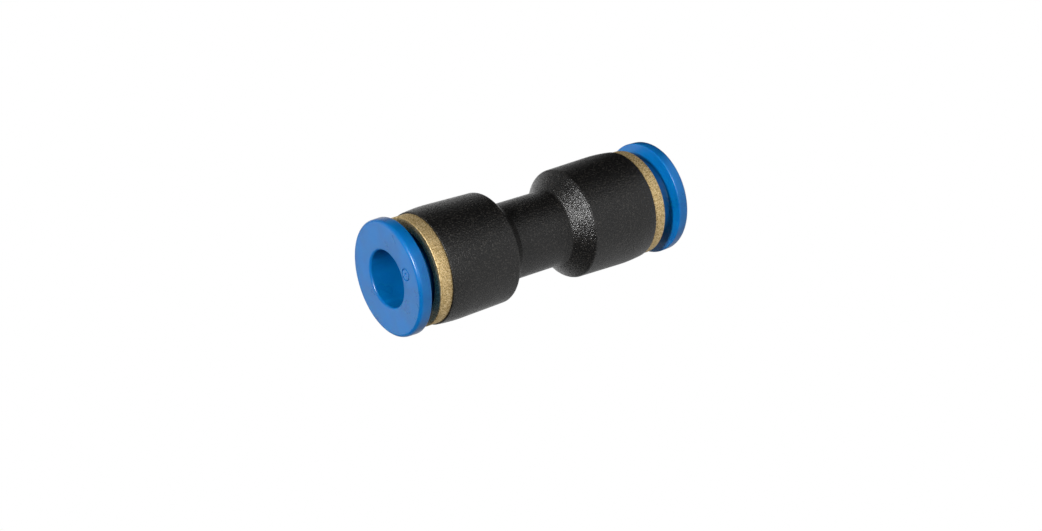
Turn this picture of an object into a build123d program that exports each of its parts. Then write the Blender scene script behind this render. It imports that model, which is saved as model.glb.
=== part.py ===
"""Straight push-in union for 6 mm plastic tube.

A black moulded body holds the same set of fittings in each end. From the middle outwards they are a
rubber seal, a plastic spacer, a stainless claw ring, a brass ring pressed into the mouth, and a
release sleeve whose split fingers snap in behind the brass ring's lip.

Nearly everything is turned about the Z axis. The union stands on its lower sleeve, so the origin is
the centre of that sleeve's flat face. Each end is drawn in a half section of its own, where local x
is the radius and local y is the distance outwards. The lower sleeve stands a little further out: its
tube has pulled it, while the upper one lies where its claws leave it.
"""

import os
from math import radians, tan

from build123d import *

os.makedirs("parts", exist_ok=True)

# Tube and running gaps (mm)
tube_radius = 3.0
bore_radius = tube_radius + 0.10

# Body outside: heights are measured from the middle of the body
neck_radius = 4.23
neck_height = 3.40
shoulder_radius = 6.12
shoulder_height = 5.17
barrel_radius = 6.26
barrel_height = 11.0
mouth_radius = 6.10
mouth_height = 13.65
shoulder_round = 0.40
neck_round = 0.35
mouth_chamfer = 0.10

# Body inside
flow_radius = 2.10
stop_height = 1.0
seal_floor = 5.20
seal_pocket_radius = 4.70
ring_floor = 7.15
ring_pocket_radius = 5.25
lead_in = 0.15

# Seal: its lip is a little smaller than the tube, and leans inwards so that pressure closes it
seal_play = 0.05
seal_lip_radius = 2.85
seal_lip_land = 0.60
seal_throat_radius = 3.40

# Spacer: its cone leaves the claws room to bend inwards
spacer_radius = 5.20
spacer_bore_radius = 3.15
spacer_top = 9.60
cone_floor = 8.0
cone_floor_radius = 3.55
cone_top_radius = 4.30

# Claw ring
claw_rim_radius = 5.15
claw_root_radius = 4.30
claw_tip_radius = 2.87
claw_thickness = 0.25
claw_angle = 30
claw_count = 10
claw_gap = 0.50

# Brass ring
brass_floor = 9.90
brass_radius = 5.94
brass_top = 15.12
brass_chamfer = 0.12
chamber_radius = 4.55
lip_floor = 12.60
lip_radius = 4.10
counterbore_radius = 4.75
counterbore_floor = 14.0
lip_lead = 0.30
knurl_count = 18
knurl_depth = 0.20
knurl_floor = 10.4
knurl_top = 13.2

# Release sleeve: depths are measured inwards from its flat face
flange_front_radius = 6.30
flange_back_radius = 6.34
flange_thickness = 1.38
flange_front_round = 0.40
flange_back_chamfer = 0.10
sleeve_neck_radius = 4.60
sleeve_neck_depth = 2.465
sleeve_radius = 3.95
hook_radius = 4.35
hook_depth = 6.02
hook_land = 0.30
nose_radius = 3.45
sleeve_length = 8.36
bore_entry_chamfer = 0.15
finger_slit_width = 0.70
finger_root_depth = 4.0

# Gate mark where the sleeve's runner broke off
gate_distance = 3.95
gate_angle = -96
gate_recess_radius = 0.70
gate_recess_depth = 0.08
gate_nub_radius = 0.24

# How far each sleeve's face stands out from the middle of the body
lower_face_height = 18.25
upper_face_height = 17.86
upper_face = lower_face_height + upper_face_height

UP = 1
DOWN = -1


def section_plane(height, outwards):
    """Half section at a height: local x is the radius, local y points outwards."""
    return Plane(origin=(0, 0, height), x_dir=(1, 0, 0), z_dir=(0, -outwards, 0))


def nearest_corner(section, radius, height):
    """Corner of a half section that lies nearest to a radius and height."""
    return section.vertices().sort_by_distance((radius, height))[0]


def make_body():
    """Body, moulded in one piece: two sockets back to back with a thin neck between them."""
    with BuildPart() as body:
        with BuildSketch(section_plane(lower_face_height, UP)) as section:
            with BuildLine():
                Polyline(
                    (barrel_radius, barrel_height),
                    (shoulder_radius, shoulder_height),
                    (neck_radius, neck_height),
                    (neck_radius, 0),
                    (flow_radius, 0),
                    (flow_radius, stop_height),
                    (bore_radius, stop_height),
                    (bore_radius, seal_floor - lead_in),
                    (bore_radius + lead_in, seal_floor),
                    (seal_pocket_radius, seal_floor),
                    (seal_pocket_radius, ring_floor),
                    (ring_pocket_radius, ring_floor),
                    (ring_pocket_radius, mouth_height),
                    (mouth_radius, mouth_height),
                )
                TangentArc(
                    (barrel_radius, barrel_height),
                    (mouth_radius, mouth_height),
                    tangent=(0, 1),
                )
            make_face()
            fillet(nearest_corner(section, shoulder_radius, shoulder_height), shoulder_round)
            fillet(nearest_corner(section, neck_radius, neck_height), neck_round)
            chamfer(nearest_corner(section, mouth_radius, mouth_height), mouth_chamfer)
            mirror(about=Plane.XZ)
        revolve(axis=Axis.Z)
    return body.part


def make_seal(outwards):
    """Rubber ring: a straight back against the pocket, and a lip that closes on the tube."""
    seal_bottom = seal_floor + seal_play
    seal_top = ring_floor - seal_play
    lip_bottom = (seal_bottom + seal_top - seal_lip_land) / 2
    with BuildPart() as seal:
        with BuildSketch(section_plane(lower_face_height, outwards)):
            with BuildLine():
                Polyline(
                    (seal_pocket_radius, seal_bottom),
                    (seal_pocket_radius, seal_top),
                    (seal_throat_radius, seal_top),
                    (seal_lip_radius, lip_bottom + seal_lip_land),
                    (seal_lip_radius, lip_bottom),
                    (seal_throat_radius, seal_bottom),
                    close=True,
                )
            make_face()
        revolve(axis=Axis.Z)
    return seal.part


def make_spacer(outwards):
    """Plastic ring that backs the claws and keeps them off the seal."""
    with BuildPart() as spacer:
        with BuildSketch(section_plane(lower_face_height, outwards)):
            with BuildLine():
                Polyline(
                    (spacer_bore_radius, ring_floor),
                    (spacer_radius, ring_floor),
                    (spacer_radius, spacer_top),
                    (cone_top_radius, spacer_top),
                    (cone_floor_radius, cone_floor),
                    (spacer_bore_radius, cone_floor),
                    close=True,
                )
            make_face()
        revolve(axis=Axis.Z)
    return spacer.part


def make_claw_ring(outwards):
    """Stamped ring: a flat rim, and claws between round-ended slots that lean away from the mouth."""
    rim_floor = (spacer_top + brass_floor - claw_thickness) / 2
    rim_top = rim_floor + claw_thickness
    claw_drop = (claw_root_radius - claw_tip_radius) * tan(radians(claw_angle))
    slot_inner_radius = claw_tip_radius - claw_gap
    slot_length = claw_root_radius - slot_inner_radius
    with BuildPart() as claw_ring:
        with BuildSketch(section_plane(lower_face_height, outwards)):
            with BuildLine():
                Polyline(
                    (claw_rim_radius, rim_floor),
                    (claw_rim_radius, rim_top),
                    (claw_root_radius, rim_top),
                    (claw_tip_radius, rim_top - claw_drop),
                    (claw_tip_radius, rim_floor - claw_drop),
                    (claw_root_radius, rim_floor),
                    close=True,
                )
            make_face()
        revolve(axis=Axis.Z)
        with BuildSketch(Plane.XY.offset(lower_face_height + outwards * brass_floor)):
            with PolarLocations((slot_inner_radius + claw_root_radius) / 2, claw_count):
                SlotCenterToCenter(slot_length, claw_gap)
        extrude(amount=brass_floor - cone_floor, dir=(0, 0, -outwards), mode=Mode.SUBTRACT)
    return claw_ring.part


def make_brass_ring(outwards):
    """Turned ring: an insert pressed into the mouth, a proud band, and a lip that holds the sleeve."""
    with BuildPart() as brass_ring:
        with BuildSketch(section_plane(lower_face_height, outwards)):
            with BuildLine():
                Polyline(
                    (ring_pocket_radius, brass_floor),
                    (ring_pocket_radius, mouth_height),
                    (brass_radius, mouth_height),
                    (brass_radius, brass_top - brass_chamfer),
                    (brass_radius - brass_chamfer, brass_top),
                    (counterbore_radius, brass_top),
                    (counterbore_radius, counterbore_floor),
                    (lip_radius + lip_lead, counterbore_floor),
                    (lip_radius, counterbore_floor - lip_lead),
                    (lip_radius, lip_floor),
                    (chamber_radius, lip_floor),
                    (chamber_radius, brass_floor),
                    close=True,
                )
            make_face()
        revolve(axis=Axis.Z)

        # Straight knurl that bites into the body's pocket: V grooves along the insert
        knurl_plane = Plane.XY.offset(lower_face_height + outwards * knurl_floor)
        with BuildSketch(knurl_plane):
            with PolarLocations(ring_pocket_radius, knurl_count):
                Rectangle(knurl_depth, knurl_depth, rotation=45)
        extrude(amount=knurl_top - knurl_floor, dir=(0, 0, outwards), mode=Mode.SUBTRACT)
    return brass_ring.part


def make_sleeve(face, outwards):
    """Release sleeve: a flange to press, a barrel, and four split fingers with snap hooks."""
    with BuildPart() as sleeve:
        with BuildSketch(section_plane(face, outwards)) as section:
            with BuildLine():
                Polyline(
                    (flange_front_radius, 0),
                    (flange_back_radius, -flange_thickness),
                    (sleeve_neck_radius, -flange_thickness),
                    (sleeve_neck_radius, -sleeve_neck_depth),
                    (sleeve_radius, -sleeve_neck_depth),
                    (sleeve_radius, -hook_depth),
                    (hook_radius, -hook_depth),
                    (hook_radius, -hook_depth - hook_land),
                    (nose_radius, -sleeve_length),
                    (bore_radius, -sleeve_length),
                    (bore_radius, 0),
                    close=True,
                )
            make_face()
            fillet(nearest_corner(section, flange_front_radius, 0), flange_front_round)
            back_corner = nearest_corner(section, flange_back_radius, -flange_thickness)
            chamfer(back_corner, flange_back_chamfer)
            chamfer(nearest_corner(section, bore_radius, 0), bore_entry_chamfer)
        revolve(axis=Axis.Z)

        # Four slits with round roots, as two cuts right across the barrel
        slit_length = 2 * (sleeve_length - finger_root_depth)
        slit_planes = [section_plane(face, outwards).rotated((0, 0, turn)) for turn in (45, 135)]
        with BuildSketch(*slit_planes):
            with Locations((0, -sleeve_length)):
                SlotOverall(slit_length, finger_slit_width, rotation=90)
        extrude(amount=flange_back_radius, both=True, mode=Mode.SUBTRACT)

        # Gate mark: a shallow round recess with the runner's stub in its middle
        face_plane = Plane(origin=(0, 0, face), x_dir=(1, 0, 0), z_dir=(0, 0, outwards))
        with BuildSketch(face_plane):
            with PolarLocations(gate_distance, 1, start_angle=gate_angle):
                Circle(gate_recess_radius)
                Circle(gate_nub_radius, mode=Mode.SUBTRACT)
        extrude(amount=-gate_recess_depth, mode=Mode.SUBTRACT)
    return sleeve.part


pieces = {
    "union_body": make_body(),
    "upper_seal": make_seal(UP),
    "lower_seal": make_seal(DOWN),
    "upper_spacer": make_spacer(UP),
    "lower_spacer": make_spacer(DOWN),
    "upper_claw_ring": make_claw_ring(UP),
    "lower_claw_ring": make_claw_ring(DOWN),
    "upper_brass_ring": make_brass_ring(UP),
    "lower_brass_ring": make_brass_ring(DOWN),
    "upper_release_sleeve": make_sleeve(upper_face, UP),
    "lower_release_sleeve": make_sleeve(0, DOWN),
}

for name, piece in pieces.items():
    piece.label = name
    export_step(piece, f"parts/{name}.step")
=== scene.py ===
"""Push-in union: looks for a straight tube union that stands on end on its lower sleeve.

Nearly every piece is turned: an outline of corners, each (radius, height, rounding) in millimetres,
spun about the tube axis. Heights are measured outwards from the middle of the body, or for a sleeve
from its flat face. Both ends hold the same pieces, so each operator makes its pieces for both ends.
"""

import math

import bmesh
import bpy
from bpy.props import FloatProperty, FloatVectorProperty, IntProperty, PointerProperty
from mathutils import Matrix, Vector


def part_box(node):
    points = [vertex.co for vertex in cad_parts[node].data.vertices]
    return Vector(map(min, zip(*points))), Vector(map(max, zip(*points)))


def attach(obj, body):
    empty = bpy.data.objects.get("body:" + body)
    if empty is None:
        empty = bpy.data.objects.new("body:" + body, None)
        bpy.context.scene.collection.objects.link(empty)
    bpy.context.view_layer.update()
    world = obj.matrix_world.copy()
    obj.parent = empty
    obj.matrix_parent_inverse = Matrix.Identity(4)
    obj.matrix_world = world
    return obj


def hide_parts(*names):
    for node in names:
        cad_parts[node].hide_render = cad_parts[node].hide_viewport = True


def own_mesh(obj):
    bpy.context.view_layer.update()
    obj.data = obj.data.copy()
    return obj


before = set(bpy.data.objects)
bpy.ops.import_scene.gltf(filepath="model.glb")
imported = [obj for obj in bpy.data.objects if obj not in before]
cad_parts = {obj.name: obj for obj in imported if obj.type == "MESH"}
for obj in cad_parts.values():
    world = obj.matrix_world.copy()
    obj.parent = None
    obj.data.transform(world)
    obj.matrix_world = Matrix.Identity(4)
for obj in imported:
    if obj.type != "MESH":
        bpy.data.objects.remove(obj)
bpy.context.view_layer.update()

bl_info = {
    "name": "Push-in Union",
    "version": (1, 0, 0),
    "blender": (4, 5, 0),
    "location": "View3D > Sidebar > Union",
    "description": "Models and finishes a straight push-in union for plastic tube",
    "category": "Object",
}

MM = 0.001

body_low, body_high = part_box("union_body")
middle = (body_low.z + body_high.z) / 2
upper_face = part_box("upper_release_sleeve")[1].z
lower_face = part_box("lower_release_sleeve")[0].z

# Each end of the union: its name, the way that it points along Z, and the height of its sleeve's face
ENDS = (
    ("upper", 1, upper_face),
    ("lower", -1, lower_face),
)

# Outlines (mm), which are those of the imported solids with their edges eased
FINE = 0.04
OUTSIDE = [
    (4.23, 3.40, 0.35),
    (6.12, 5.17, 0.40),
    (6.26, 11.00, 8.0),
    (6.26, 12.33, 17.0),
    (6.10, 13.65, 0.05),
]
INSIDE = [
    (5.25, 13.65, FINE),
    (5.25, 7.15, FINE),
    (4.70, 7.15, FINE),
    (4.70, 5.20, FINE),
    (3.25, 5.20, FINE),
    (3.10, 5.05, FINE),
    (3.10, 1.00, FINE),
    (2.10, 1.00, FINE),
]
SEAL = [
    (4.70, 5.25, 0.20),
    (4.70, 7.10, 0.20),
    (3.40, 7.10, 0.12),
    (2.85, 6.475, 0.12),
    (2.85, 5.875, 0.12),
    (3.40, 5.25, 0.12),
]
SPACER = [
    (3.15, 7.15, FINE),
    (5.20, 7.15, 0.10),
    (5.20, 9.60, 0.10),
    (4.30, 9.60, FINE),
    (3.55, 8.00, FINE),
    (3.15, 8.00, FINE),
]
CLAW_RIM = [
    (4.30, 9.625, 0),
    (5.15, 9.625, FINE),
    (5.15, 9.875, FINE),
    (4.30, 9.875, 0),
]
CLAW = [
    (4.30, 9.625, 0),
    (4.30, 9.875, 0),
    (2.87, 9.0494, 0),
    (2.87, 8.7994, 0),
]
BRASS_RING = [
    (5.25, 9.90, 0.10),
    (5.25, 10.40, 0),
    (5.25, 13.20, 0),
    (5.25, 13.65, 0),
    (5.94, 13.65, FINE),
    (5.94, 15.12, 0.10),
    (4.75, 15.12, 0.06),
    (4.75, 14.00, FINE),
    (4.40, 14.00, FINE),
    (4.10, 13.70, FINE),
    (4.10, 12.60, FINE),
    (4.55, 12.60, FINE),
    (4.55, 9.90, 0.10),
]
SLEEVE = [
    (6.30, 0, 0.40),
    (6.34, -1.38, 0.12),
    (4.60, -1.38, 0.12),
    (4.60, -2.465, 0.08),
    (3.95, -2.465, 0.06),
    (3.95, -6.02, FINE),
    (4.35, -6.02, FINE),
    (4.35, -6.32, FINE),
    (3.45, -8.36, 0.10),
    (3.10, -8.36, 0.06),
    (3.10, 0, 0.24),
]

KNURL_STEPS = 180
SLIT_WIDTH = 0.70
SLIT_ROOT_DEPTH = 4.0
SLEEVE_LENGTH = 8.36
GATE_DISTANCE = 4.12
GATE_ANGLE = math.radians(-93)
CLAW_ROOT = 4.30
CLAW_GAP = 0.50
CLAW_RIM_HEIGHT = 9.75

# Knurl: the part of the insert that carries it, and how deep its grooves are
KNURL_INNER_RADIUS = 5.2
KNURL_FLOOR = 10.3
KNURL_TOP = 13.3
KNURL_DEPTH = 0.14
INSERT_RADIUS = 5.25

# How far a face has to look along Z to count as an end face: from this much, and wholly from this
END_FACE_FROM = 0.85
END_FACE_WHOLE = 0.98
END_FACE_ROUGHNESS = 0.45

# Angle between two faces past which their edge stays sharp
SHARP_ANGLE = math.radians(38)

# Softboxes: azimuth and elevation that each shines from (degrees), distance, width, height (m), power (W)
SOFTBOXES = {
    "key_softbox": (-70, 57, 0.4, 0.06, 0.06, 1.85),
    "fill_softbox": (40, 35, 0.5, 0.3, 0.3, 0.2),
    "back_softbox": (80, 36, 0.5, 0.35, 0.25, 0.30),
    "front_softbox": (-90, 10, 0.5, 0.40, 0.15, 0.7),
}

# Height, as the sine of its elevation, where the walls start to darken and where they end
WALL_DIM_FROM = 0.1
WALL_DIM_TO = 0.4

# Camera, from which the middle of the union lies this far right, up and ahead (mm)
AIM_RIGHT = 0.339
AIM_UP = 3.229
AIM_AHEAD = 199.11

# Light table (m)
FLOOR_RADIUS = 3.0


# Glow of the light table at each share of a turn about the union, from -X round by -Y, +X and +Y
GLOW_LEVELS = (
    (0.0, 0.58),
    (0.25, 0.60),
    (0.31, 0.60),
    (0.37, 0.05),
    (0.50, 0.01),
    (0.55, 0.03),
    (0.60, 0.30),
    (0.66, 0.85),
    (0.75, 1.00),
    (0.88, 0.42),
    (1.0, 0.58),
)


# Colours and nodes


def linear(hex_colour):
    """Linear RGBA of an sRGB hex colour."""
    values = [int(hex_colour[place:place + 2], 16) / 255 for place in (1, 3, 5)]
    return [*(v / 12.92 if v <= 0.04045 else ((v + 0.055) / 1.055) ** 2.4 for v in values), 1.0]


def add_node(tree, kind, inputs=None, **settings):
    """Adds a node with its settings; an input takes a value, or the output that feeds it."""
    node = tree.nodes.new(kind)
    for name, value in settings.items():
        setattr(node, name, value)
    for name, value in (inputs or {}).items():
        if isinstance(value, bpy.types.NodeSocket):
            tree.links.new(value, node.inputs[name])
        else:
            node.inputs[name].default_value = value
    return node


def new_material(name, **values):
    """A material whose Principled shader has these values, with its tree and that shader."""
    material = bpy.data.materials.new(name)
    material.use_nodes = True
    tree = material.node_tree
    shader = tree.nodes["Principled BSDF"]
    for socket, value in values.items():
        shader.inputs[socket.replace("_", " ")].default_value = value
    return material, tree, shader


def object_place(tree, stretch=(1, 1, 1)):
    """Object coordinates, which are the union's own metres, stretched along each axis."""
    place = add_node(tree, "ShaderNodeTexCoord")
    return add_node(
        tree, "ShaderNodeMapping", {"Vector": place.outputs["Object"], "Scale": stretch}
    ).outputs["Vector"]


def grain(tree, size, detail=2.0, place=None):
    """Noise whose lumps are about as wide as size, in metres."""
    inputs = {"Vector": place or object_place(tree), "Scale": 1 / size, "Detail": detail}
    return add_node(tree, "ShaderNodeTexNoise", inputs).outputs["Fac"]


def ramp(tree, factor, *stops):
    """Colour ramp through (position, colour) stops."""
    node = add_node(tree, "ShaderNodeValToRGB", {"Fac": factor})
    elements = node.color_ramp.elements
    elements[0].position, elements[0].color = stops[0]
    elements[1].position, elements[1].color = stops[-1]
    for position, colour in stops[1:-1]:
        elements.new(position).color = colour
    return node.outputs["Color"]


def spread(tree, factor, low, high):
    """Noise, which stays near its middle, spread out from low to high."""
    inputs = {"Value": factor, "From Min": 0.3, "From Max": 0.7, "To Min": low, "To Max": high}
    return add_node(tree, "ShaderNodeMapRange", inputs).outputs["Result"]


def bump(tree, shader, height, depth):
    """Bump of a real depth, in metres."""
    node = add_node(tree, "ShaderNodeBump", {"Height": height, "Distance": depth})
    tree.links.new(node.outputs["Normal"], shader.inputs["Normal"])


# Materials


def spark_eroded_nylon(settings):
    """Black nylon from a spark-eroded tool: a fine grain that breaks every highlight into sparkle.

    The real grain is too fine to show, so it is drawn coarser. Its base colour also holds painted
    sparkle: lighter specks on the grain's crests stand in for glints, and darker hollows stand in for
    shade in the grain.
    """
    material, tree, shader = new_material("black_nylon_spark_eroded", IOR=1.53)
    fine = grain(tree, settings.grain_size, detail=3.0)
    # Painted sparkle: the colour is lighter on the grain's crests, standing in for glints, and darker in
    # its hollows, standing in for shade in the grain
    tone = ramp(
        tree,
        fine,
        (0.35, linear("#050505")),
        (0.54, settings.colour[:]),
        (0.66, linear("#302e2b")),
    )
    tree.links.new(tone, shader.inputs["Base Color"])
    tree.links.new(spread(tree, fine, 0.40, 0.18), shader.inputs["Roughness"])
    bump(tree, shader, fine, settings.grain_depth)
    return material


def tumbled_brass(settings):
    """Turned brass, tumbled dull: sandy, with small pits that catch the light at their edges and are
    darkened by painted shade.

    The turned end faces are smoother than the band, so they are glossier. Real pits are finer than
    these, and would not show.
    """
    material, tree, shader = new_material("tumbled_brass", Metallic=1.0)
    mottle = grain(tree, settings.pit_size * 1.6, detail=4.0)
    pits = grain(tree, settings.pit_size)
    tone = ramp(
        tree,
        mottle,
        (0.30, linear("#a98c55")),
        (0.52, settings.colour[:]),
        (0.70, linear("#ffeec6")),
    )
    # Painted shade: the colour is darkened in the pits, the low places of their bump
    shade = ramp(tree, pits, (0.32, linear("#604a2a")), (0.41, linear("#ffffff")))
    pitted = add_node(tree, "ShaderNodeMix", data_type="RGBA", blend_type="MULTIPLY")
    pitted.inputs["Factor"].default_value = 1.0
    tree.links.new(tone, pitted.inputs[6])
    tree.links.new(shade, pitted.inputs[7])
    tree.links.new(pitted.outputs[2], shader.inputs["Base Color"])
    facing = add_node(tree, "ShaderNodeNewGeometry")
    axial = add_node(tree, "ShaderNodeSeparateXYZ", {"Vector": facing.outputs["Normal"]})
    upright = add_node(tree, "ShaderNodeMath", {0: axial.outputs["Z"]}, operation="ABSOLUTE")
    faced = {"Value": upright.outputs[0], "From Min": END_FACE_FROM, "From Max": END_FACE_WHOLE}
    face = add_node(tree, "ShaderNodeMapRange", faced).outputs["Result"]
    dull = spread(tree, pits, 0.78, 0.58)
    dullness = add_node(tree, "ShaderNodeMix", {"Factor": face, "A": dull, "B": END_FACE_ROUGHNESS})
    tree.links.new(dullness.outputs[0], shader.inputs["Roughness"])
    bump(tree, shader, pits, settings.pit_depth)
    return material


def polished_acetal(name, colour, roughness):
    """Acetal from a polished tool: a waxy gloss that lets a little light in, with faint flow marks."""
    material, tree, shader = new_material(
        name,
        IOR=1.48,
        Subsurface_Weight=0.3,
        Subsurface_Scale=0.8 * MM,
        Subsurface_Radius=(0.15, 0.45, 1.0),
    )
    flow = grain(tree, 2.5 * MM)
    deep = [value * 0.88 for value in colour[:3]] + [1.0]
    pale = [min(1.0, value * 1.10) for value in colour[:3]] + [1.0]
    tree.links.new(ramp(tree, flow, (0.35, deep), (0.65, pale)), shader.inputs["Base Color"])
    tree.links.new(spread(tree, flow, roughness - 0.04, roughness + 0.05), shader.inputs["Roughness"])
    return material


def rolled_stainless():
    """Stainless strip, cold rolled: bright, with fine rolling lines straight across the ring."""
    material, tree, shader = new_material("rolled_stainless", Metallic=1.0)
    lines = grain(tree, 0.08 * MM, place=object_place(tree, (0.1, 1, 0.1)))
    tone = ramp(tree, lines, (0.35, linear("#a9a9a6")), (0.65, linear("#cfcfcb")))
    tree.links.new(tone, shader.inputs["Base Color"])
    tree.links.new(spread(tree, lines, 0.22, 0.34), shader.inputs["Roughness"])
    bump(tree, shader, lines, 0.002 * MM)
    return material


def nitrile_rubber():
    """Moulded nitrile rubber: dull black, with a bloom that lightens it in patches."""
    material, tree, shader = new_material("nitrile_rubber", IOR=1.52, Roughness=0.62)
    bloom = grain(tree, 0.8 * MM, detail=3.0)
    tone = ramp(tree, bloom, (0.35, linear("#161616")), (0.70, linear("#2a2a29")))
    tree.links.new(tone, shader.inputs["Base Color"])
    bump(tree, shader, grain(tree, 0.1 * MM), 0.003 * MM)
    return material


def light_table(settings):
    """White light table: plain white to the camera, while what stands on it mirrors a dimmer glow.

    The glow differs from side to side, which gives the black body one bright and one dark flank.
    """
    material = bpy.data.materials.new("white_light_table")
    material.use_nodes = True
    tree = material.node_tree
    tree.nodes.clear()
    place = add_node(tree, "ShaderNodeTexCoord")
    around = add_node(
        tree, "ShaderNodeTexGradient", {"Vector": place.outputs["Object"]}, gradient_type="RADIAL"
    )
    levels = ramp(
        tree,
        around.outputs["Fac"],
        *((turn, (level, level, level, 1)) for turn, level in GLOW_LEVELS),
    )
    glow = add_node(tree, "ShaderNodeMath", {0: levels, 1: settings.floor_glow}, operation="MULTIPLY")
    ray = add_node(tree, "ShaderNodeLightPath")
    seen = add_node(
        tree, "ShaderNodeMix", {"Factor": ray.outputs["Is Camera Ray"], "A": glow.outputs[0], "B": 1.0}
    )
    shader = add_node(tree, "ShaderNodeEmission", {"Strength": seen.outputs[0]})
    add_node(tree, "ShaderNodeOutputMaterial", {"Surface": shader.outputs[0]})
    return material


# Shapes


def turned(outline, outwards=1, base=middle, steps=192, angle=math.tau):
    """Spins a closed outline about the Z axis, from the +X axis, with its corners rounded."""
    shape = bmesh.new()
    points = [Vector((radius, height)) for radius, height, _ in outline]
    corners = [shape.verts.new((point.x * MM, 0, base + outwards * point.y * MM)) for point in points]
    shape.faces.new(corners)
    for place, corner in enumerate(corners):
        rounding = outline[place][2]
        if not rounding:
            continue
        after = points[(place + 1) % len(points)]
        turn = (points[place] - points[place - 1]).angle(after - points[place])
        bmesh.ops.bevel(
            shape,
            geom=[corner],
            offset=rounding * MM * math.tan(turn / 2),
            segments=max(3, min(10, round(rounding * turn / 0.08))),
            profile=0.5,
            affect="VERTICES",
            material=-1,
        )
    bmesh.ops.delete(shape, geom=shape.faces[:], context="FACES_ONLY")
    bmesh.ops.spin(
        shape,
        geom=shape.verts[:] + shape.edges[:],
        cent=(0, 0, 0),
        axis=(0, 0, 1),
        angle=angle,
        steps=steps,
        use_merge=angle == math.tau,
    )
    bmesh.ops.remove_doubles(shape, verts=shape.verts[:], dist=1e-7)
    bmesh.ops.recalc_face_normals(shape, faces=shape.faces[:])
    return shape


def as_object(name, shape):
    """Turns a bmesh into an object at the origin."""
    mesh = bpy.data.meshes.new(name)
    shape.to_mesh(mesh)
    shape.free()
    piece = bpy.data.objects.new(name, mesh)
    bpy.context.scene.collection.objects.link(piece)
    return piece


def cut(piece, *cutters):
    """Takes the cutters out of a piece."""
    for cutter in cutters:
        tool = as_object("cutter", cutter)
        modifier = piece.modifiers.new("cut", "BOOLEAN")
        modifier.object = tool
        modifier.solver = "EXACT"
        depsgraph = bpy.context.evaluated_depsgraph_get()
        whole = piece.data
        piece.data = bpy.data.meshes.new_from_object(piece.evaluated_get(depsgraph))
        piece.modifiers.clear()
        bpy.data.meshes.remove(whole)
        bpy.data.objects.remove(tool)
    piece.data.name = piece.name


def drop_slivers(piece):
    """Takes out the faces without area that a cut leaves along an edge."""
    shape = bmesh.new()
    shape.from_mesh(piece.data)
    bmesh.ops.dissolve_degenerate(shape, dist=1e-7, edges=shape.edges[:])
    shape.to_mesh(piece.data)
    shape.free()


def finish(piece, body, slot, material, *nodes):
    """Shades a piece, and puts it on its body in place of its solids."""
    piece.data.materials.clear()
    piece.data.materials.append(material)
    piece.data.shade_smooth()
    piece.data.set_sharp_from_angle(angle=SHARP_ANGLE)
    weighting = piece.modifiers.new("even_shading", "WEIGHTED_NORMAL")
    weighting.keep_sharp = True
    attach(piece, body)
    if nodes:
        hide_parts(*nodes)


# Settings


class BodySettings(bpy.types.PropertyGroup):
    colour: FloatVectorProperty(
        name="Colour",
        description="Colour of the black nylon",
        default=linear("#0c0b0b"),
        size=4,
        subtype="COLOR",
        min=0,
        max=1,
    )
    grain_size: FloatProperty(
        name="Grain size",
        description="Width of the tool's spark-eroded grain",
        default=0.17 * MM,
        precision=5,
        subtype="DISTANCE",
        unit="LENGTH",
    )
    grain_depth: FloatProperty(
        name="Grain depth",
        description="Depth of the spark-eroded grain",
        default=0.085 * MM,
        precision=5,
        subtype="DISTANCE",
        unit="LENGTH",
    )


class BrassSettings(bpy.types.PropertyGroup):
    colour: FloatVectorProperty(
        name="Colour",
        description="Colour of the brass",
        default=linear("#e4cb96"),
        size=4,
        subtype="COLOR",
        min=0,
        max=1,
    )
    pit_size: FloatProperty(
        name="Pit size",
        description="Width of the pits that tumbling leaves",
        default=0.09 * MM,
        precision=5,
        subtype="DISTANCE",
        unit="LENGTH",
    )
    pit_depth: FloatProperty(
        name="Pit depth",
        description="Depth of the pits",
        default=0.012 * MM,
        precision=5,
        subtype="DISTANCE",
        unit="LENGTH",
    )
    knurl_count: IntProperty(
        name="Knurl grooves",
        description="Grooves along the insert that bite into the body",
        default=18,
    )


class SleeveSettings(bpy.types.PropertyGroup):
    colour: FloatVectorProperty(
        name="Colour",
        description="Colour of the blue acetal",
        default=linear("#0066aa"),
        size=4,
        subtype="COLOR",
        min=0,
        max=1,
    )
    roughness: FloatProperty(
        name="Roughness",
        description="How dull the polished acetal is",
        default=0.30,
        min=0.05,
        max=1,
    )


class ClawSettings(bpy.types.PropertyGroup):
    count: IntProperty(
        name="Claws",
        description="Claws round each ring",
        default=10,
    )
    spread: FloatProperty(
        name="Spread",
        description="Share of its reach inwards that a claw keeps when its sleeve is pressed home",
        default=0.25,
        min=0.05,
        max=1,
    )


class StageSettings(bpy.types.PropertyGroup):
    floor_glow: FloatProperty(
        name="Floor glow",
        description="Light that the table gives off",
        default=1.0,
        min=0,
    )
    surround_low: FloatProperty(
        name="Surround below",
        description="Brightness of the studio walls near the table",
        default=0.20,
        min=0,
    )
    surround_high: FloatProperty(
        name="Surround above",
        description="Brightness of the studio walls higher up",
        default=0.05,
        min=0,
    )
    lens: FloatProperty(
        name="Lens",
        description="Focal length on a 36 mm wide sensor",
        default=63.42,
        unit="CAMERA",
    )
    elevation: FloatProperty(
        name="Elevation",
        description="How far the camera looks down",
        default=math.radians(33.04),
        subtype="ANGLE",
        unit="ROTATION",
    )
    roll: FloatProperty(
        name="Roll",
        description="Turn of the camera about its line of sight",
        default=math.radians(-108.12),
        subtype="ANGLE",
        unit="ROTATION",
    )


# Pieces


class UNION_OT_make_body(bpy.types.Operator):
    """Make the black body, one moulding with a socket at each end"""

    bl_idname = "union.make_body"
    bl_label = "Body"

    def execute(self, context):
        half = OUTSIDE + INSIDE
        outline = half + [(radius, -height, rounding) for radius, height, rounding in reversed(half)]
        piece = as_object("moulded_body", turned(outline))
        material = spark_eroded_nylon(context.scene.union_body)
        finish(piece, "housing", "body_plastic", material, "union_body")
        return {"FINISHED"}


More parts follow.
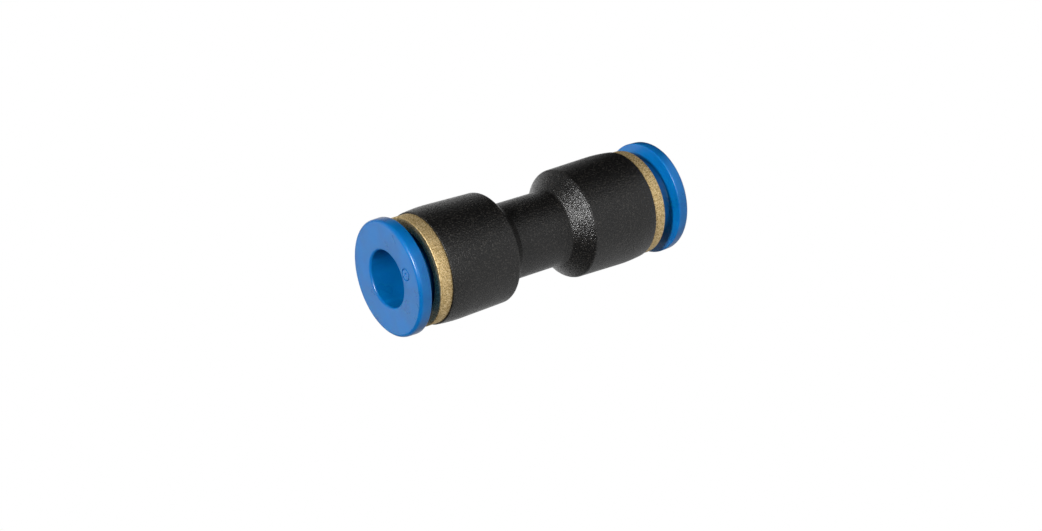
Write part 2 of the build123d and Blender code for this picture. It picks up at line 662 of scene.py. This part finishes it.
class UNION_OT_make_seals(bpy.types.Operator):
    """Make the rubber lip seal at each end"""

    bl_idname = "union.make_seals"
    bl_label = "Seals"

    def execute(self, context):
        material = nitrile_rubber()
        for end, outwards, _ in ENDS:
            piece = as_object(f"{end}_lip_seal", turned(SEAL, outwards))
            finish(piece, "housing", "seal_rubber", material, f"{end}_seal")
        return {"FINISHED"}


class UNION_OT_make_spacers(bpy.types.Operator):
    """Make the plastic spacer that backs the claws at each end"""

    bl_idname = "union.make_spacers"
    bl_label = "Spacers"

    def execute(self, context):
        material = polished_acetal("natural_acetal", linear("#dcdad2"), 0.4)
        for end, outwards, _ in ENDS:
            piece = as_object(f"{end}_spacer_ring", turned(SPACER, outwards))
            finish(piece, "housing", "spacer_plastic", material, f"{end}_spacer")
        return {"FINISHED"}


class UNION_OT_make_claws(bpy.types.Operator):
    """Make the claw rings: a flat rim, and claws as pieces of their own, which on the real union spread
    as their sleeve is pressed
    """

    bl_idname = "union.make_claws"
    bl_label = "Claw rings"

    def execute(self, context):
        settings = context.scene.union_claws
        material = rolled_stainless()
        pitch = math.tau / settings.count
        for end, outwards, _ in ENDS:
            body = f"{end}_claws"
            rim = as_object(f"{end}_claw_rim", turned(CLAW_RIM, outwards, steps=180))
            notches = bmesh.new()
            for number in range(settings.count):
                notch = Matrix.Rotation(number * pitch, 4, "Z") @ Matrix.Translation(
                    (CLAW_ROOT * MM, 0, middle + outwards * CLAW_RIM_HEIGHT * MM)
                )
                bmesh.ops.create_cone(
                    notches,
                    cap_ends=True,
                    segments=24,
                    radius1=CLAW_GAP / 2 * MM,
                    radius2=CLAW_GAP / 2 * MM,
                    depth=1.0 * MM,
                    matrix=notch,
                )
            cut(rim, notches)
            drop_slivers(rim)
            finish(rim, body, "claw_steel", material, f"{end}_claw_ring")
            for number in range(settings.count):
                claw = self.make_claw(outwards, number * pitch, pitch)
                piece = as_object(f"{end}_claw_{number + 1:02}", claw)
                finish(piece, body, "claw_steel", material)
                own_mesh(piece)
        return {"FINISHED"}

    def make_claw(self, outwards, start, pitch):
        """One claw: a slice of the cone, trimmed along the slots on both its sides."""
        claw = turned(CLAW, outwards, steps=8, angle=pitch)
        bmesh.ops.rotate(
            claw, verts=claw.verts[:], cent=(0, 0, 0), matrix=Matrix.Rotation(start, 3, "Z")
        )
        for side, turn in ((1, start), (-1, start + pitch)):
            across = Vector((-math.sin(turn), math.cos(turn), 0)) * side
            trimmed = bmesh.ops.bisect_plane(
                claw,
                geom=claw.verts[:] + claw.edges[:] + claw.faces[:],
                dist=1e-8,
                plane_co=across * CLAW_GAP / 2 * MM,
                plane_no=across,
                clear_inner=True,
            )
            rim = [part for part in trimmed["geom_cut"] if isinstance(part, bmesh.types.BMEdge)]
            bmesh.ops.contextual_create(claw, geom=rim)
        bmesh.ops.recalc_face_normals(claw, faces=claw.faces[:])
        crisp = [edge for edge in claw.edges if edge.is_manifold and edge.calc_face_angle() > 0.7]
        bmesh.ops.bevel(
            claw,
            geom=crisp,
            offset=0.02 * MM,
            segments=1,
            profile=0.5,
            affect="EDGES",
            material=-1,
        )
        return claw


class UNION_OT_make_brass_rings(bpy.types.Operator):
    """Make the turned brass rings, with a knurl where each is pressed into the body"""

    bl_idname = "union.make_brass_rings"
    bl_label = "Brass rings"

    def execute(self, context):
        settings = context.scene.union_brass
        material = tumbled_brass(settings)
        for end, outwards, _ in ENDS:
            ring = turned(BRASS_RING, outwards, steps=KNURL_STEPS)
            for vertex in ring.verts:
                height = abs(vertex.co.z - middle) / MM
                radius = vertex.co.to_2d().length / MM
                column = round(math.degrees(math.atan2(vertex.co.y, vertex.co.x)) * KNURL_STEPS / 360)
                in_knurl = radius > KNURL_INNER_RADIUS and KNURL_FLOOR < height < KNURL_TOP
                if in_knurl and column % (KNURL_STEPS // settings.knurl_count) == 0:
                    vertex.co.xy *= 1 - KNURL_DEPTH / INSERT_RADIUS
            piece = as_object(f"{end}_band_ring", ring)
            finish(piece, "housing", "brass", material, f"{end}_brass_ring")
        return {"FINISHED"}


class UNION_OT_make_sleeves(bpy.types.Operator):
    """Make the blue release sleeves, with their flanges, split fingers and gate marks"""

    bl_idname = "union.make_sleeves"
    bl_label = "Release sleeves"

    def execute(self, context):
        settings = context.scene.union_sleeves
        material = polished_acetal("blue_acetal", settings.colour[:], settings.roughness)
        for end, outwards, face in ENDS:
            piece = as_object(f"{end}_push_sleeve", turned(SLEEVE, outwards, base=face))
            slits = [self.make_slit(outwards, face, math.radians(turn)) for turn in (45, 135)]
            cut(piece, *slits, self.make_gate(outwards, face))
            finish(piece, f"{end}_sleeve", "sleeve_plastic", material, f"{end}_release_sleeve")
        return {"FINISHED"}

    def make_slit(self, outwards, face, turn):
        """Cutter for a slit right across the barrel, with a round root."""
        slit = bmesh.new()
        half = SLIT_WIDTH / 2 * MM
        reach = 6 * MM
        root = face - outwards * SLIT_ROOT_DEPTH * MM
        open_end = face - outwards * (SLEEVE_LENGTH + 1) * MM
        corners = [
            slit.verts.new((-reach, -half, open_end)),
            slit.verts.new((-reach, half, open_end)),
            slit.verts.new((-reach, half, root)),
            slit.verts.new((-reach, -half, root)),
        ]
        slit.faces.new(corners)
        bmesh.ops.bevel(
            slit,
            geom=corners[2:],
            offset=half * 0.999,
            segments=8,
            profile=0.5,
            affect="VERTICES",
            material=-1,
        )
        walls = bmesh.ops.extrude_face_region(slit, geom=slit.faces[:])
        moved = [part for part in walls["geom"] if isinstance(part, bmesh.types.BMVert)]
        bmesh.ops.translate(slit, verts=moved, vec=(2 * reach, 0, 0))
        bmesh.ops.recalc_face_normals(slit, faces=slit.faces[:])
        bmesh.ops.rotate(
            slit, verts=slit.verts[:], cent=(0, 0, 0), matrix=Matrix.Rotation(turn, 3, "Z")
        )
        return slit

    def make_gate(self, outwards, face):
        """Cutter for the gate mark: a sunk ring, and a dimple where the runner broke off."""
        outline = [
            (0.50, 0.30, 0),
            (0.57, -0.20, 0.03),
            (0.64, -0.20, 0.03),
            (0.74, 0.30, 0),
        ]
        gate = turned(outline, outwards, base=face, steps=48)
        bmesh.ops.create_uvsphere(
            gate,
            u_segments=24,
            v_segments=12,
            radius=0.20 * MM,
            matrix=Matrix.Translation((0, 0, face + outwards * 0.07 * MM)),
        )
        place = Vector((math.cos(GATE_ANGLE), math.sin(GATE_ANGLE), 0)) * GATE_DISTANCE * MM
        bmesh.ops.translate(gate, verts=gate.verts[:], vec=place)
        return gate


# Stage


class UNION_OT_make_stage(bpy.types.Operator):
    """Make the light table, the white walls, the soft lights and the camera"""

    bl_idname = "union.make_stage"
    bl_label = "Stage"

    def execute(self, context):
        settings = context.scene.union_stage
        self.make_floor(settings)
        self.make_surround(settings)
        self.make_camera(settings)
        context.scene.view_settings.view_transform = "Standard"
        for name, facts in SOFTBOXES.items():
            self.make_light(name, *facts)
        return {"FINISHED"}

    def make_floor(self, settings):
        """A round light table, wide enough to fill any view."""
        floor = bmesh.new()
        bmesh.ops.create_circle(floor, cap_ends=True, segments=96, radius=FLOOR_RADIUS)
        piece = as_object("floor", floor)
        piece.data.materials.append(light_table(settings))

    def make_surround(self, settings):
        """White studio walls: plain white to the camera, dimmer in reflections and darker higher up."""
        world = bpy.data.worlds.new("white_studio")
        world.use_nodes = True
        tree = world.node_tree
        direction = add_node(tree, "ShaderNodeTexCoord")
        parts = add_node(tree, "ShaderNodeSeparateXYZ", {"Vector": direction.outputs["Generated"]})
        low, high = settings.surround_low, settings.surround_high
        levels = {
            "Value": parts.outputs["Z"],
            "From Min": WALL_DIM_FROM,
            "From Max": WALL_DIM_TO,
            "To Min": low,
            "To Max": high,
        }
        wall = add_node(tree, "ShaderNodeMapRange", levels)
        ray = add_node(tree, "ShaderNodeLightPath")
        seen = add_node(
            tree,
            "ShaderNodeMix",
            {"Factor": ray.outputs["Is Camera Ray"], "A": wall.outputs["Result"], "B": 1.0},
        )
        background = tree.nodes["Background"]
        background.inputs["Color"].default_value = linear("#ffffff")
        tree.links.new(seen.outputs[0], background.inputs["Strength"])
        bpy.context.scene.world = world

    def make_light(self, name, azimuth, elevation, distance, width, height, power):
        """A rectangular softbox that faces the middle of the union."""
        lamp = bpy.data.lights.new(name, "AREA")
        lamp.shape = "RECTANGLE"
        lamp.size = width
        lamp.size_y = height
        lamp.energy = power
        light = bpy.data.objects.new(name, lamp)
        bpy.context.scene.collection.objects.link(light)
        around, above = math.radians(azimuth), math.radians(elevation)
        towards = Vector(
            (math.cos(around) * math.cos(above), math.sin(around) * math.cos(above), math.sin(above))
        )
        light.location = Vector((0, 0, middle)) + towards * distance
        light.rotation_euler = towards.to_track_quat("Z", "Y").to_euler()

    def make_camera(self, settings):
        """Camera that looks down past the upper sleeve, turned on its side."""
        forward = Vector((0, math.cos(settings.elevation), -math.sin(settings.elevation)))
        level_right = Vector((1, 0, 0))
        level_up = level_right.cross(forward)
        cos_roll, sin_roll = math.cos(settings.roll), math.sin(settings.roll)
        right = level_right * cos_roll + level_up * sin_roll
        up = level_up * cos_roll - level_right * sin_roll
        lens = bpy.data.cameras.new("camera")
        lens.sensor_width = 36
        lens.lens = settings.lens
        lens.clip_start = 0.01
        camera = bpy.data.objects.new("camera", lens)
        bpy.context.scene.collection.objects.link(camera)
        aim = right * AIM_RIGHT * MM + up * AIM_UP * MM + forward * AIM_AHEAD * MM
        camera.matrix_world = Matrix.Translation(Vector((0, 0, middle)) - aim) @ Matrix(
            (right, up, -forward)
        ).transposed().to_4x4()
        bpy.context.scene.camera = camera


class UNION_PT_panel(bpy.types.Panel):
    """Lists the union's pieces and their settings"""

    bl_idname = "UNION_PT_panel"
    bl_label = "Push-in Union"
    bl_space_type = "VIEW_3D"
    bl_region_type = "UI"
    bl_category = "Union"

    def draw(self, context):
        for group, operators in PANEL_ROWS:
            box = self.layout.box()
            for operator in operators:
                box.operator(operator)
            settings = getattr(context.scene, group)
            for name in settings.bl_rna.properties.keys():
                if name not in ("rna_type", "name"):
                    box.prop(settings, name)


SETTINGS = {
    "union_body": BodySettings,
    "union_brass": BrassSettings,
    "union_sleeves": SleeveSettings,
    "union_claws": ClawSettings,
    "union_stage": StageSettings,
}
PANEL_ROWS = (
    ("union_body", ("union.make_body", "union.make_seals", "union.make_spacers")),
    ("union_claws", ("union.make_claws",)),
    ("union_brass", ("union.make_brass_rings",)),
    ("union_sleeves", ("union.make_sleeves",)),
    ("union_stage", ("union.make_stage",)),
)
CLASSES = (
    *SETTINGS.values(),
    UNION_OT_make_body,
    UNION_OT_make_seals,
    UNION_OT_make_spacers,
    UNION_OT_make_claws,
    UNION_OT_make_brass_rings,
    UNION_OT_make_sleeves,
    UNION_OT_make_stage,
    UNION_PT_panel,
)


def register():
    for each in CLASSES:
        bpy.utils.register_class(each)
    for name, group in SETTINGS.items():
        setattr(bpy.types.Scene, name, PointerProperty(type=group))


def unregister():
    for name in SETTINGS:
        delattr(bpy.types.Scene, name)
    for each in reversed(CLASSES):
        bpy.utils.unregister_class(each)


def main():
    register()
    bpy.ops.union.make_body()
    bpy.ops.union.make_seals()
    bpy.ops.union.make_spacers()
    bpy.ops.union.make_claws()
    bpy.ops.union.make_brass_rings()
    bpy.ops.union.make_sleeves()
    bpy.ops.union.make_stage()


if __name__ == "__main__":
    main()
